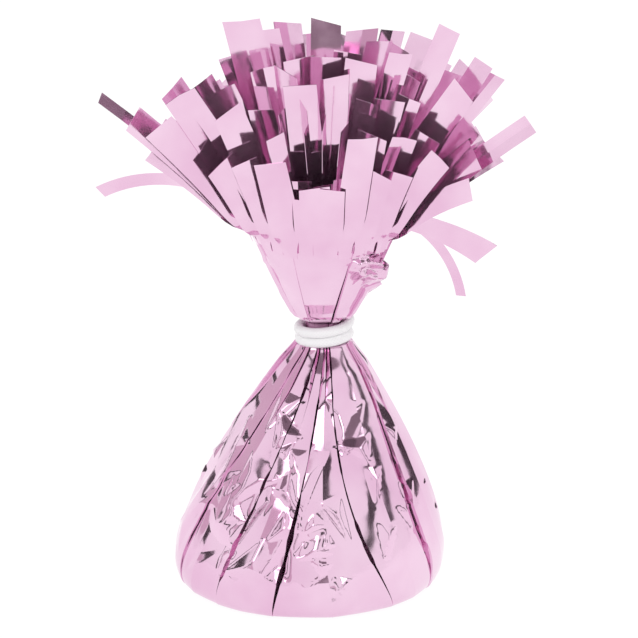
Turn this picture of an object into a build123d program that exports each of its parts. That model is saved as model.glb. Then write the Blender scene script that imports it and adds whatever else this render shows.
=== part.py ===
from build123d import *
import os
from math import atan2, cos, degrees, hypot, pi, radians, sin

# Foil balloon weight: a cast core wrapped in one sheet of metallised film, which is gathered and
# tied above the core, with its rim slit into a fringe. Millimetres, +Z up. The origin is the middle
# of the flat foot, and the photographed front faces -Y.

# Film and clearances
FOIL = 0.3
CORE_CLEARANCE = 0.5
TIE_CLEARANCE = 0.25
STRIP_CLEARANCE = 0.45

# Skirt, from the flat foot up over the core to the tie
FOOT_RADIUS = 31.0
HEEL_HEIGHT = 2.5
HEEL_RADIUS = 33.0
BELLY_HEIGHT = 8.0
BELLY_RADIUS = 33.8
SKIRT_BULGE = 3.0
SKIRT_BULGE_LEVELS = 5
SKIRT_TOP_RADIUS = 9.4
SKIRT_TOP_DROP = 1.8
PLEATS = 16
PLEAT_SHARE = 0.07
CREST_SHARE = 0.8
PLEAT_SCATTER = 0.1

# Core
CORE_HEIGHT = 34.0
CORE_TOP_FILLET = 6.0

# Neck, where the sheet is gathered
NECK_HEIGHT = 64.5
NECK_RADIUS = 4.8
NECK_LENGTH = 6.4
NECK_SHIFT = 4.0

# Tie, an elastic band that goes twice round the neck and crosses itself at the back
TIE_DIAMETER = 2.0
TIE_GAP = 0.5
TIE_TILT = 6.0
TIE_CLIMB_ANGLE = 50.0
TIE_HUMP_ANGLE = 85.0
TIE_CROSSING_AZIMUTH = 70.0

# Collar, the uncut film above the tie
SHOULDER_RISE = 3.4
SHOULDER_RADIUS = 11.2
RIM_HEIGHT = 91.5
RIM_RADIUS = 18.4
COLLAR_PLEAT_SHARE = 0.14
FOLDS_PER_TUFT = 3
FOLD_INNER_RADIUS = 2.0
FOLD_GAP = 0.5
FOLD_TOP_GAP = 0.75

# Fringe: eight tufts, named by the side they face, each with rings of strips that fan out from a
# point inside the neck. Ring 0 is the lowest. Most strips show a face to the viewer in front, who looks
# down at the view elevation, and every fourth one is turned anyhow. The front lift is the share of its
# tilt that a strip right in front loses, because the strips there stand steeper.
TUFTS = ("right", "back_right", "back", "back_left", "left", "front_left", "front", "front_right")
FAN_DROP = 7.5
RING_STRIPS = (4, 3, 3, 2, 1)
OUTER_RINGS = (0, 1)
INNER_RINGS = (2, 3, 4)
LOW_RING_TILT = 39.5
RING_STEP = 7.5
LOW_RING_LENGTH = 38.2
TOP_RING_LENGTH = 42.2
STRIP_ROOT_WIDTH = 2.4
STRIP_TIP_WIDTH = 7.0
PLACE_SCATTER = 0.1
LENGTH_SCATTER = 3.5
WIDTH_SCATTER = 1.2
VIEW_ELEVATION = 18.0
FRONT_LIFT = 0.35
FACE_SCATTER = 6.0
FREE_SCATTER = 90.0
GOLDEN = 0.618034

# The lowest strips are shorter on some sides, so that the long ones behind them stand clear
SHORTER_BY = {
    "right": 9.0,
    "back_left": 12.0,
    "left": 10.0,
    "front_left": 16.0,
    "front": 26.0,
    "front_right": 14.0,
}

# Strips that stand out in the photograph: tuft, ring and place give azimuth, tilt, length, tip width and
# the turn away from the viewer
PICKED_STRIPS = {
    ("left", 3, 1): (191.0, 13.6, 49.4, 9.0, 0.0),
    ("left", 1, 1): (180.0, 29.2, 38.8, 7.0, 0.0),
    ("left", 2, 2): (198.0, 23.7, 39.9, 6.0, 0.0),
    ("left", 0, 3): (195.0, 37.6, 41.2, 6.5, 0.0),
    ("left", 0, 1): (175.0, 41.3, 46.2, 2.6, 0.0),
    ("front_left", 0, 0): (207.0, 35.6, 39.4, 8.0, 0.0),
    ("front_left", 2, 0): (212.0, 23.4, 39.0, 9.0, 0.0),
    ("front_left", 1, 0): (209.0, 29.6, 43.2, 8.0, 0.0),
    ("front_left", 1, 1): (225.0, 26.0, 37.2, 7.5, 0.0),
    ("front_left", 1, 2): (242.0, 22.5, 28.2, 5.0, 25.0),
    ("front", 3, 0): (254.0, 16.2, 38.4, 8.0, 0.0),
    ("front", 2, 0): (259.0, 20.0, 29.2, 5.0, 75.0),
    ("front", 2, 1): (270.0, 20.0, 31.2, 5.0, 80.0),
    ("front", 2, 2): (283.0, 19.5, 29.2, 5.0, 70.0),
    ("front", 1, 0): (254.0, 22.5, 15.2, 5.0, 0.0),
    ("front", 1, 1): (270.0, 22.5, 14.2, 5.0, 0.0),
    ("front", 1, 2): (283.0, 22.5, 16.2, 5.0, 40.0),
    ("front", 0, 0): (255.5, 25.7, 11.7, 4.6, 0.0),
    ("front", 0, 3): (288.0, 26.0, 31.4, 7.0, 0.0),
    ("front_right", 0, 0): (300.0, 28.5, 21.2, 5.4, 0.0),
    ("front_right", 0, 2): (320.0, 33.5, 29.2, 6.0, 0.0),
    ("front_right", 2, 0): (300.0, 17.0, 33.8, 5.5, 0.0),
    ("front_right", 3, 1): (330.0, 15.4, 43.5, 5.5, 0.0),
    ("front_right", 0, 3): (331.0, 41.1, 24.5, 5.5, 0.0),
    ("right", 2, 0): (-18.0, 27.3, 40.3, 7.0, 0.0),
    ("right", 0, 1): (-6.0, 40.7, 40.4, 5.0, 0.0),
    ("right", 2, 1): (0.0, 20.6, 49.6, 5.6, 0.0),
    ("right", 1, 0): (-14.0, 32.0, 33.2, 6.0, 0.0),
    ("right", 1, 1): (4.0, 28.5, 44.8, 5.2, 0.0),
    ("right", 1, 2): (13.0, 32.8, 42.6, 5.2, 0.0),
}

# Loose strips stand edge up between the tufts' lowest strips. Each has its tuft, the azimuth from the
# tuft's middle, how much further than the lowest strips it leans at its root, the tilt of its tip from
# upright, its length and its two widths.
LOOSE_STRIPS = {
    "loose_strip_left": ("left", -9.0, 2.0, 120.0, 41.0, 2.6, 3.2),
    "loose_strip_right_wide": ("right", -9.0, 52.0, 122.0, 23.0, 4.0, 7.0),
    "loose_strip_right_hanging": ("right", 11.25, 70.0, 172.0, 28.0, 2.2, 2.4),
}
LOOSE_BENDS = 4


def spread(number):
    """Evenly scattered value between -1 and 1 for a whole number."""
    return 2.0 * ((number * GOLDEN) % 1.0) - 1.0


def neck_bottom():
    return NECK_HEIGHT - NECK_LENGTH / 2


def neck_top():
    return NECK_HEIGHT + NECK_LENGTH / 2


def lean(z):
    """How far the middle of the film stands to the right of the foot at a height."""
    return NECK_SHIFT * min(z / neck_bottom(), 1.0)


def pleated_loop(z, radius, share):
    """Saw-toothed outline of folded film: each pleat rises slowly and drops back steeply."""
    pitch = 2.0 * pi / PLEATS
    points = []
    for pleat in range(PLEATS):
        valley = pitch * (pleat + PLEAT_SCATTER * spread(pleat))
        crest = pitch * (pleat + CREST_SHARE)
        for angle, reach in ((valley, radius * (1.0 - share)), (crest, radius)):
            points.append((lean(z) + reach * cos(angle), reach * sin(angle), z))
    return points


def pleated_skin(levels, share):
    """Flat panels between the outlines of neighbouring levels (height, radius)."""
    loops = [pleated_loop(z, radius, share) for z, radius in levels]
    panels = []
    for low, high in zip(loops, loops[1:]):
        for start in range(len(low)):
            end = (start + 1) % len(low)
            panels.append(Face(Wire.make_polygon([low[start], low[end], high[end], high[start]])))
    return panels


def pleated_ring(level, share, hole):
    """Flat rim of the film at a level, or the whole disc where hole is False."""
    z, radius = level
    holes = [Wire.make_polygon(pleated_loop(z, radius - FOIL, share))] if hole else []
    return Face(Wire.make_polygon(pleated_loop(z, radius, share)), holes)


def foil_shell(levels, share, floor):
    """Film of even thickness through the levels, open at the top, with or without a floor."""
    inside = [(z, radius - FOIL) for z, radius in levels]
    if floor:
        inside[0] = (levels[0][0] + FOIL, inside[0][1])
    panels = pleated_skin(levels, share) + pleated_skin(inside, share)
    panels.append(pleated_ring(levels[-1], share, True))
    panels.append(pleated_ring(levels[0], share, not floor))
    if floor:
        panels.append(pleated_ring(inside[0], share, False))
    return Solid(Shell(panels))


def skirt_levels():
    top = neck_bottom() - SKIRT_TOP_DROP
    levels = [(0.0, FOOT_RADIUS), (HEEL_HEIGHT, HEEL_RADIUS)]
    for step in range(SKIRT_BULGE_LEVELS + 1):
        share = step / SKIRT_BULGE_LEVELS
        straight = BELLY_RADIUS + share * (SKIRT_TOP_RADIUS - BELLY_RADIUS)
        height = BELLY_HEIGHT + share * (top - BELLY_HEIGHT)
        levels.append((height, straight + SKIRT_BULGE * sin(pi * share)))
    levels.append((neck_bottom(), NECK_RADIUS))
    return levels


def foil_skirt():
    return foil_shell(skirt_levels(), PLEAT_SHARE, floor=True)


def skirt_room(z):
    """Radius free of film inside the skirt at a height, measured from the foot's own axis."""
    levels = skirt_levels()
    for (low, low_radius), (high, high_radius) in zip(levels, levels[1:]):
        if low <= z <= high:
            radius = low_radius + (z - low) / (high - low) * (high_radius - low_radius)
    valley = (radius - FOIL) * (1.0 - PLEAT_SHARE)
    return valley * cos(pi / PLEATS) - lean(z)


def weight_core():
    """Cast slug that fills the lower skirt and stands on the film of the foot."""
    middle = (BELLY_HEIGHT + CORE_HEIGHT) / 2
    heights = (FOIL, HEEL_HEIGHT, BELLY_HEIGHT, middle, CORE_HEIGHT)
    side = [(skirt_room(z) - CORE_CLEARANCE, 0, z) for z in heights]
    profile = make_face(Polyline([(0, 0, FOIL)] + side + [(0, 0, CORE_HEIGHT)], close=True))
    core = revolve(profile, Axis.Z)
    top_edge = core.edges().filter_by(GeomType.CIRCLE).group_by(Axis.Z)[-1]
    return fillet(top_edge, CORE_TOP_FILLET)


def neck_gather():
    """Bundle of folded film inside the tie."""
    levels = [(neck_bottom(), NECK_RADIUS), (neck_top(), NECK_RADIUS)]
    ends = [pleated_ring(level, PLEAT_SHARE, False) for level in levels]
    return Solid(Shell(pleated_skin(levels, PLEAT_SHARE) + ends))


def tie_point(turn):
    """Centre line of the band. Its two turns change places where one passes over the other."""
    pitch = TIE_DIAMETER + TIE_GAP
    track = NECK_RADIUS + TIE_CLEARANCE + TIE_DIAMETER / 2
    nearest = round(turn)
    past = 360.0 * (turn - nearest)
    under = nearest % 2 == 1
    climb = pitch / 2 * sin(pi / 2 * max(-1.0, min(1.0, past / TIE_CLIMB_ANGLE)))
    hump = pitch * cos(pi / 2 * max(-1.0, min(1.0, past / TIE_HUMP_ANGLE))) ** 2
    radius = track if under else track + hump
    angle = 2.0 * pi * turn
    return Vector(radius * cos(angle), radius * sin(angle), climb if under else -climb)


def biarc(start, start_way, end, end_way):
    """Two arcs that leave the start and reach the end along the given directions."""
    gap = end - start
    slope = gap.dot(start_way + end_way)
    bend = 2.0 * (1.0 - start_way.dot(end_way))
    reach = gap.dot(gap) / (slope + (slope * slope + bend * gap.dot(gap)) ** 0.5)
    joint = (start + start_way * reach + end - end_way * reach) * 0.5
    first = Edge.make_tangent_arc(start, start_way, joint)
    return [first, Edge.make_tangent_arc(joint, first.tangent_at(1), end)]


def tie_turn(start_turn):
    """One whole turn of the band, swept along biarcs from the side opposite its crossing."""
    crossing = start_turn + 0.5
    angles = (-180.0, -TIE_HUMP_ANGLE, -TIE_CLIMB_ANGLE, -TIE_CLIMB_ANGLE / 2, 0.0)
    stations = [crossing + angle / 360.0 for angle in angles]
    stations += [crossing - angle / 360.0 for angle in angles[-2::-1]]
    step = 1e-4
    ways = [(tie_point(turn + step) - tie_point(turn - step)).normalized() for turn in stations]
    points = [tie_point(turn) for turn in stations]
    edges = []
    for index in range(len(stations) - 1):
        edges += biarc(points[index], ways[index], points[index + 1], ways[index + 1])
    section = Plane(points[0], z_dir=ways[0]) * Circle(TIE_DIAMETER / 2)
    return sweep(section, path=Wire(edges))


def neck_tie():
    band = tie_turn(0.5) + tie_turn(1.5)
    return Pos(NECK_SHIFT, 0, NECK_HEIGHT) * Rot(0, -TIE_TILT, 0) * Rot(0, 0, TIE_CROSSING_AZIMUTH) * band


def tie_self_gap():
    """Least gap between stretches of the band that are over a quarter turn apart along it."""
    steps = 240
    apart = steps // 8
    points = [tie_point(2.0 * step / steps) for step in range(steps)]
    gaps = []
    for first in range(steps):
        for second in range(first + apart, min(steps, first + steps - apart)):
            gaps.append((points[first] - points[second]).length)
    return min(gaps) - TIE_DIAMETER


def collar_outer_folds():
    levels = [
        (neck_top(), NECK_RADIUS),
        (neck_top() + SHOULDER_RISE, SHOULDER_RADIUS),
        (RIM_HEIGHT, RIM_RADIUS),
    ]
    return foil_shell(levels, COLLAR_PLEAT_SHARE, floor=False)


def fan_height():
    return neck_top() - FAN_DROP


def rim_tilt():
    """Tilt of the collar's rim as seen from the point that the fringe fans out from."""
    return degrees(atan2(RIM_RADIUS, RIM_HEIGHT - fan_height()))


def root_reach():
    return hypot(RIM_RADIUS, RIM_HEIGHT - fan_height()) + STRIP_CLEARANCE


def rim_reach(azimuth):
    """Radius of the collar's rim at an azimuth, where a ray meets its saw-toothed outline."""
    ray = Vector(cos(radians(azimuth)), sin(radians(azimuth)), 0)
    middle = Vector(NECK_SHIFT, 0, RIM_HEIGHT)
    outline = [Vector(point) - middle for point in pleated_loop(RIM_HEIGHT, RIM_RADIUS, COLLAR_PLEAT_SHARE)]
    for first, second in zip(outline, outline[1:] + outline[:1]):
        if first.cross(ray).Z >= 0 and ray.cross(second).Z > 0:
            return first.cross(second).Z / ray.cross(second - first).Z


def rim_seat(azimuth, half_width, tilt):
    """Middle of a root whose lower corner stands just above the film of the collar's rim."""
    radius = rim_reach(azimuth) - FOIL / 2 - half_width * cos(radians(tilt))
    return (radius, RIM_HEIGHT + STRIP_CLEARANCE + half_width * sin(radians(tilt)))


def fan_point(reach, tilt):
    """Radius and height of a point at a distance and tilt from the point that the fringe fans out from."""
    return (reach * sin(radians(tilt)), fan_height() + reach * cos(radians(tilt)))


def ring_tilt(ring):
    """Tilt of a ring's tips as seen from the same point."""
    return LOW_RING_TILT - RING_STEP * ring


def root_tilt(tip_tilt):
    """Strips stand closer together at their roots than at their tips."""
    return tip_tilt * rim_tilt() / LOW_RING_TILT


def fold_wall(azimuth):
    """Fold of film inside the collar: a flat wall from the neck up to the roots of the strips."""
    top_reach = root_reach() - FOLD_TOP_GAP
    tilts = [root_tilt(ring_tilt(ring)) for ring in range(1, len(RING_STRIPS))]
    tilts.append(tilts[-1] / 2)
    room = 1.0 - COLLAR_PLEAT_SHARE
    shoulder = (SHOULDER_RADIUS - FOIL) * room * cos(pi / PLEATS) - FOLD_GAP
    outline = [(FOLD_INNER_RADIUS, neck_top()), (NECK_RADIUS * room - FOLD_GAP, neck_top())]
    outline.append((shoulder, neck_top() + SHOULDER_RISE))
    outline += [fan_point(top_reach, tilt) for tilt in tilts]
    wall = make_face(Polyline([(r, 0, z) for r, z in outline], close=True))
    wall = extrude(wall, FOIL / 2, dir=(0, 1, 0), both=True)
    return Pos(NECK_SHIFT, 0, 0) * Rot(0, 0, azimuth) * wall


def collar_inner_folds():
    count = FOLDS_PER_TUFT * len(TUFTS)
    return Compound(children=[fold_wall(360.0 * number / count) for number in range(count)])


def slope(root, tip):
    """Tilt from upright of the line from root to tip."""
    return degrees(atan2(tip[0] - root[0], tip[1] - root[1]))


def facing_roll(azimuth, tilt):
    """Roll about its own length that turns a strip's face to the viewer."""
    level = cos(radians(VIEW_ELEVATION))
    down = sin(radians(VIEW_ELEVATION))
    across = level * cos(radians(azimuth))
    upright = level * cos(radians(tilt)) * sin(radians(azimuth)) + down * sin(radians(tilt))
    return degrees(atan2(across, upright))


def strip(azimuth, root, tip, roll, root_width, tip_width):
    """Flat strip from root to tip, turned by its roll about its own length, wider at the tip."""
    length = hypot(tip[0] - root[0], tip[1] - root[1])
    along = Vector(tip[0] - root[0], 0, tip[1] - root[1]).normalized()
    upright = Vector(-along.Z, 0, along.X)
    face_way = upright * cos(radians(roll)) - Vector(0, 1, 0) * sin(radians(roll))
    plane = Plane(origin=(root[0], 0, root[1]), x_dir=along, z_dir=face_way)
    corners = [
        (0, -root_width / 2),
        (length, -tip_width / 2),
        (length, tip_width / 2),
        (0, root_width / 2),
    ]
    blade = extrude(plane * make_face(Polyline(corners, close=True)), FOIL / 2, both=True)
    return Pos(NECK_SHIFT, 0, 0) * Rot(0, 0, azimuth) * blade


def ring_strip(tuft, ring, place):
    """A strip of a ring in a tuft, scattered a little unless the photograph picks it out."""
    count = RING_STRIPS[ring]
    number = 31 * tuft + 7 * ring + 3 * place + 1
    sector = 360.0 / len(TUFTS)
    azimuth = sector * (tuft + (place + 0.5 + PLACE_SCATTER * spread(number)) / count - 0.5)
    tilt = ring_tilt(ring) + RING_STEP * PLACE_SCATTER * spread(3 * number)
    tilt = tilt * (1.0 - FRONT_LIFT * max(0.0, -sin(radians(azimuth))))
    low_length = LOW_RING_LENGTH - SHORTER_BY.get(TUFTS[tuft], 0.0)
    length_step = (TOP_RING_LENGTH - low_length) / (len(RING_STRIPS) - 1)
    length = low_length + length_step * ring + LENGTH_SCATTER * spread(7 * number)
    width = STRIP_TIP_WIDTH + WIDTH_SCATTER * spread(11 * number)
    turn = (FREE_SCATTER if number % 4 == 0 else FACE_SCATTER) * spread(5 * number)
    picked = PICKED_STRIPS.get((TUFTS[tuft], ring, place))
    if picked:
        azimuth, tilt, length, width, turn = picked
    tip = fan_point(root_reach() + length, tilt)
    root = fan_point(root_reach(), root_tilt(ring_tilt(ring)))
    if ring == 0:
        root = (rim_reach(azimuth), RIM_HEIGHT)
    roll = facing_roll(azimuth, slope(root, tip)) + turn
    if ring == 0:
        root = rim_seat(azimuth, STRIP_ROOT_WIDTH / 2 * abs(sin(radians(roll))), slope(root, tip))
    return strip(azimuth, root, tip, roll, STRIP_ROOT_WIDTH, width)


def fringe(tuft, rings):
    strips = []
    for ring in rings:
        strips += [ring_strip(tuft, ring, place) for place in range(RING_STRIPS[ring])]
    return Compound(children=strips)


def low_strip_slope():
    """Tilt from upright of a lowest strip, from the collar's rim to its tip."""
    return slope((RIM_RADIUS, RIM_HEIGHT), fan_point(root_reach() + LOW_RING_LENGTH, LOW_RING_TILT))


def loose_strip(tuft, azimuth, extra_lean, tilt_tip, length, root_width, tip_width):
    """Strip that stands edge up and bends from its root tilt to its tip tilt."""
    run = length / LOOSE_BENDS
    tilt_root = low_strip_slope() + extra_lean
    turn = 360.0 / len(TUFTS) * TUFTS.index(tuft) + azimuth
    point = rim_seat(turn, root_width / 2, tilt_root)
    upper = []
    lower = []
    for step in range(LOOSE_BENDS + 1):
        share = step / LOOSE_BENDS
        tilt = radians(tilt_root + (tilt_tip - tilt_root) * share)
        half = (root_width + (tip_width - root_width) * share) / 2
        upper.append((point[0] - half * cos(tilt), 0, point[1] + half * sin(tilt)))
        lower.append((point[0] + half * cos(tilt), 0, point[1] - half * sin(tilt)))
        point = (point[0] + run * sin(tilt), point[1] + run * cos(tilt))
    outline = make_face(Polyline(lower + upper[::-1], close=True))
    blade = extrude(outline, FOIL / 2, dir=(0, 1, 0), both=True)
    return Pos(NECK_SHIFT, 0, 0) * Rot(0, 0, turn) * blade


os.makedirs("parts", exist_ok=True)
nodes = {
    "weight_core": weight_core(),
    "foil_skirt": foil_skirt(),
    "neck_gather": neck_gather(),
    "neck_tie": neck_tie(),
    "collar_outer_folds": collar_outer_folds(),
    "collar_inner_folds": collar_inner_folds(),
}
for number, side in enumerate(TUFTS):
    nodes["outer_fringe_" + side] = fringe(number, OUTER_RINGS)
    nodes["inner_fringe_" + side] = fringe(number, INNER_RINGS)
for name, place in LOOSE_STRIPS.items():
    nodes[name] = loose_strip(*place)
for name, shape in nodes.items():
    export_step(shape, f"parts/{name}.step")
print(len(nodes), "nodes; least gap of the band to itself", round(tie_self_gap(), 3), "mm")
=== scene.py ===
# %% [markdown]
# # A foil-wrapped balloon weight
# One sheet of pink metallised film is wrapped round a heavy core, tied at the neck with a white band, and
# slit along its rim into a fringe. The solids give every place and size. Each surface of film is worked out
# as a grid of numbers, creases are added as straight-sided folds, and the grid becomes a mesh.

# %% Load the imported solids
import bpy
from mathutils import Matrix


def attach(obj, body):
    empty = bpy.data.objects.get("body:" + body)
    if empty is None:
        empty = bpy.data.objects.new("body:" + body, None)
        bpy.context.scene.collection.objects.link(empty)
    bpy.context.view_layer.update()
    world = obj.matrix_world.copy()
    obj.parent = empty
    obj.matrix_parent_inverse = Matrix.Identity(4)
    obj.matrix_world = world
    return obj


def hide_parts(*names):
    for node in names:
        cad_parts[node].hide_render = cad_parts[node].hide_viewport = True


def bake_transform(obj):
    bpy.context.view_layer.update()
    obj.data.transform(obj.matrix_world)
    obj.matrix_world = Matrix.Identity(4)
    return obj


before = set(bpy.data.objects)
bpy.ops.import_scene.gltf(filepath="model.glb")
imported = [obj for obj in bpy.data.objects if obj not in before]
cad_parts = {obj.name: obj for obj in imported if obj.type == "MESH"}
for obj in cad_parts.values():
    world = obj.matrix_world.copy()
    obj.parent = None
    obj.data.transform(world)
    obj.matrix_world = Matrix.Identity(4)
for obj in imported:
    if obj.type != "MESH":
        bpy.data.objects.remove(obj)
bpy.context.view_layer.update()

import math
import bpy
import numpy as np

ROOT = "wrapped_weight"

# %% [markdown]
# ## Sizes
# The film has to lie where the solids are, so their sizes are repeated here, in millimetres. The golden
# ratio stands in for chance: it gives an even scatter that is the same on every run.

# %% Sizes shared with the solids
MM = 0.001
FILM = 0.12
NECK_SHIFT, NECK_RADIUS = 4.0, 4.8
NECK_BOTTOM, NECK_MIDDLE, NECK_TOP = 61.3, 64.5, 67.7
RIM_HEIGHT, RIM_RADIUS, RIM_GAP = 91.5, 18.4, 0.45
FAN_HEIGHT = NECK_TOP - 7.5
FAN_REACH = math.hypot(RIM_RADIUS, RIM_HEIGHT - FAN_HEIGHT) + RIM_GAP
RIM_TILT = math.degrees(math.atan2(RIM_RADIUS, RIM_HEIGHT - FAN_HEIGHT))
TUFTS = ("right", "back_right", "back", "back_left", "left", "front_left", "front", "front_right")
TUFT_TURN = 45.0
GOLDEN = 0.618034


def spread(number):
    """Golden-ratio scatter: whole numbers to values between -1 and 1."""
    return 2.0 * ((np.asarray(number, float) * GOLDEN) % 1.0) - 1.0


def lean(z):
    """The wrap leans right: its middle moves from 0 at the foot to the neck's shift at the neck."""
    return NECK_SHIFT * np.minimum(np.asarray(z) / NECK_BOTTOM, 1.0)


print("fan from", round(FAN_HEIGHT, 1), "mm up, roots", round(FAN_REACH, 2), "mm away")

# %% [markdown]
# ## From a grid of numbers to a mesh
# Every surface is a grid: rows of points round or along the film, joined by quads that face outwards. It
# could be modelled by hand, but numbers repeat exactly and follow the solids' sizes.

# %% Grid helpers
def grid_quads(rows, columns, wrap):
    """Quads (i, j), (i, j+1), (i+1, j+1), (i+1, j) of a grid; wrap joins its last column to the first."""
    index = np.arange(rows * columns).reshape(rows, columns)
    left = index if wrap else index[:, :-1]
    right = np.roll(index, -1, axis=1) if wrap else index[:, 1:]
    return np.stack([left[:-1], right[:-1], right[1:], left[1:]], axis=-1).reshape(-1, 4)


def film_piece(name, points, faces, material, smooth=True):
    """A mesh object from an (n, 3) array of points in millimetres and a list of faces."""
    mesh = bpy.data.meshes.new(name)
    mesh.from_pydata((np.asarray(points) * MM).tolist(), [], faces)
    mesh.polygons.foreach_set("use_smooth", np.full(len(mesh.polygons), smooth))
    mesh.update()
    piece = bpy.data.objects.new(name, mesh)
    bpy.context.scene.collection.objects.link(piece)
    piece.data.materials.append(material)
    return piece


def film_edge(piece, offset):
    """Solidify gives open film its thickness."""
    edge = piece.modifiers.new("film", "SOLIDIFY")
    edge.thickness = FILM * MM
    edge.offset = offset


def edge_ends(piece):
    """The two vertex numbers of each edge, as an array of edge by end."""
    ends = np.empty(2 * len(piece.data.edges), int)
    piece.data.edges.foreach_get("vertices", ends)
    return ends.reshape(-1, 2)


def mark_sharp(piece, sharp):
    """Edges marked sharp, so that the film breaks there instead of bending."""
    layer = piece.data.attributes.new("sharp_edge", "BOOLEAN", "EDGE")
    layer.data.foreach_set("value", sharp)


def sharpen_columns(piece, columns, creased):
    """Sharp where both ends of an edge lie on the same creased column of a grid."""
    column = edge_ends(piece) % columns
    mark_sharp(piece, (column[:, 0] == column[:, 1]) & np.isin(column[:, 0], creased))


def about_middle(flat, z):
    """Points from their offsets (..., 2) off the leaning middle of the wrap, and their heights."""
    z = np.broadcast_to(z, flat.shape[:-1])
    return np.stack([lean(z) + flat[..., 0], flat[..., 1], z], axis=-1)


print("a wrapped grid of 3 by 4 points has", len(grid_quads(3, 4, True)), "quads")

# %% [markdown]
# ## The foil
# Metallised film is a tinted mirror: almost fully metallic, with a trace of haze that keeps its darkest
# folds mauve. A painted shine would be right from one side only, so the look is left to what the film
# reflects, and the material only adds a faint crinkle and a slightly uneven tint and polish. All patterns
# read Object coordinates, in metres.

# %% Foil material
def node_on(source, kind, socket, **values):
    """A new node with a source on one socket and values on others."""
    tree = source.id_data
    node = tree.nodes.new(kind)
    for name, value in values.items():
        node.inputs[name].default_value = value
    tree.links.new(source, node.inputs[socket])
    return node


def noise_of(source, scale, detail):
    """Noise over some coordinates; the scale is in waves per unit of them."""
    return node_on(source, "ShaderNodeTexNoise", "Vector", Scale=scale, Detail=detail).outputs["Fac"]


def ramp_of(source, low, high, low_colour, high_colour):
    """One colour up to the low mark, another from the high mark, and a straight blend between them."""
    ramp = node_on(source, "ShaderNodeValToRGB", "Fac")
    ends = ramp.color_ramp.elements
    ends[0].position, ends[1].position = low, high
    ends[0].color, ends[1].color = low_colour, high_colour
    return ramp.outputs["Color"]


def bump_of(height, strength, distance):
    """Normals bent by a height, whose full range stands for a distance in metres."""
    return node_on(height, "ShaderNodeBump", "Height", Strength=strength, Distance=distance).outputs["Normal"]


def new_material(name, coordinates):
    """A material, and the texture coordinates that its patterns read."""
    material = bpy.data.materials.new(name)
    material.use_nodes = True
    return material, material.node_tree.nodes.new("ShaderNodeTexCoord").outputs[coordinates]


def dress(material, patterns, **values):
    """Gives patterns and values to the sockets of the material's shader."""
    tree = material.node_tree
    shader = tree.nodes["Principled BSDF"]
    for socket, pattern in patterns.items():
        tree.links.new(pattern, shader.inputs[socket])
    for socket, value in values.items():
        shader.inputs[socket].default_value = value
    return material


def pink_foil():
    """Tinted mirror: tint, polish and crinkle each follow a noise of their own scale."""
    material, place = new_material("pink_foil", "Object")
    deep_pink, pale_pink = (0.79, 0.495, 0.685, 1), (0.87, 0.62, 0.78, 1)
    tint = ramp_of(noise_of(place, 45.0, 3.0), 0.35, 0.65, deep_pink, pale_pink)
    bright, dull = (0.04, 0.04, 0.04, 1), (0.12, 0.12, 0.12, 1)
    polish = ramp_of(noise_of(place, 160.0, 3.0), 0.3, 0.7, bright, dull)
    crinkle = bump_of(noise_of(place, 150.0, 2.0), 0.1, 0.0005)
    return dress(material, {"Base Color": tint, "Roughness": polish, "Normal": crinkle}, Metallic=0.94)


FOIL = pink_foil()
print("foil material with", len(FOIL.node_tree.nodes), "nodes")

# %% [markdown]
# ## Creases
# Film doesn't dent, it folds: flat panels meet at straight creases. At every crease the film turns inwards
# and out again, and this narrow slot shows as a dark line. A bump in the material could draw such lines,
# but it has no depth to lose the light in.

# %% Panels
PANEL, STEP = 12, 4


def turn_apart(azimuth, other):
    """Signed angle between azimuths, between -pi and pi."""
    return (azimuth - other + np.pi) % (2.0 * np.pi) - np.pi


def round_points(reach, angle):
    """Flat points at a reach and an angle from the middle."""
    return np.stack([reach * np.cos(angle), reach * np.sin(angle)], axis=-1)


def pleated_rows(crease, depth, slot, opening, swapped):
    """Outlines of pleated film for a middle radius of 1, as an array of row by column by (x, y).

    All are arrays of row by crease, angles in radians and depths as shares of the radius. Left of a crease
    the film stands at 1 and right of it at 1 - depth, or the other way round where swapped; between them it
    dips by the slot, over the opening. A panel is half chord and half arc.
    """
    after = np.roll(crease, -1, axis=1)
    after[:, -1] += 2.0 * np.pi
    left = np.where(swapped, 1.0 - depth, 1.0)
    right = np.where(swapped, 1.0, 1.0 - depth)
    begin = crease + opening / 2
    end = after - np.roll(opening, -1, axis=1) / 2
    end_radius = np.roll(left, -1, axis=1)
    share = np.arange(PANEL) / PANEL
    corner = round_points(right, begin)[:, :, None]
    far = round_points(end_radius, end)[:, :, None]
    chord = corner + (far - corner) * share[:, None]
    angle = begin[..., None] + (end - begin)[..., None] * share
    reach = right[..., None] + (end_radius - right)[..., None] * share
    arc = round_points(reach, angle)
    following = np.roll(corner, -1, axis=1)
    floor_reach = np.roll(np.minimum(left, right) - slot, -1, axis=1)
    floor = round_points(floor_reach, after)[:, :, None]
    half = (np.arange(STEP // 2) / (STEP // 2))[:, None]
    dip = np.concatenate([far + (floor - far) * half, floor + (following - floor) * half], axis=2)
    return np.concatenate([0.5 * chord + 0.5 * arc, dip], axis=2).reshape(len(crease), -1, 2)


def crease_columns(count):
    """Columns of the grid where a panel or a slot begins."""
    first = np.arange(count) * (PANEL + STEP)
    return np.concatenate([first, first + PANEL, first + PANEL + STEP // 2])


print("columns for each crease:", PANEL + STEP)

# %% [markdown]
# ## Crumpled spots
# Pressed film is crumpled into small flat faces that catch the light or lose it. They could be carved into
# the mesh, but here each is a low three-sided pyramid, cut off flat and pressed in or out of the surface,
# so dozens of them can overlap freely.

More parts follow.
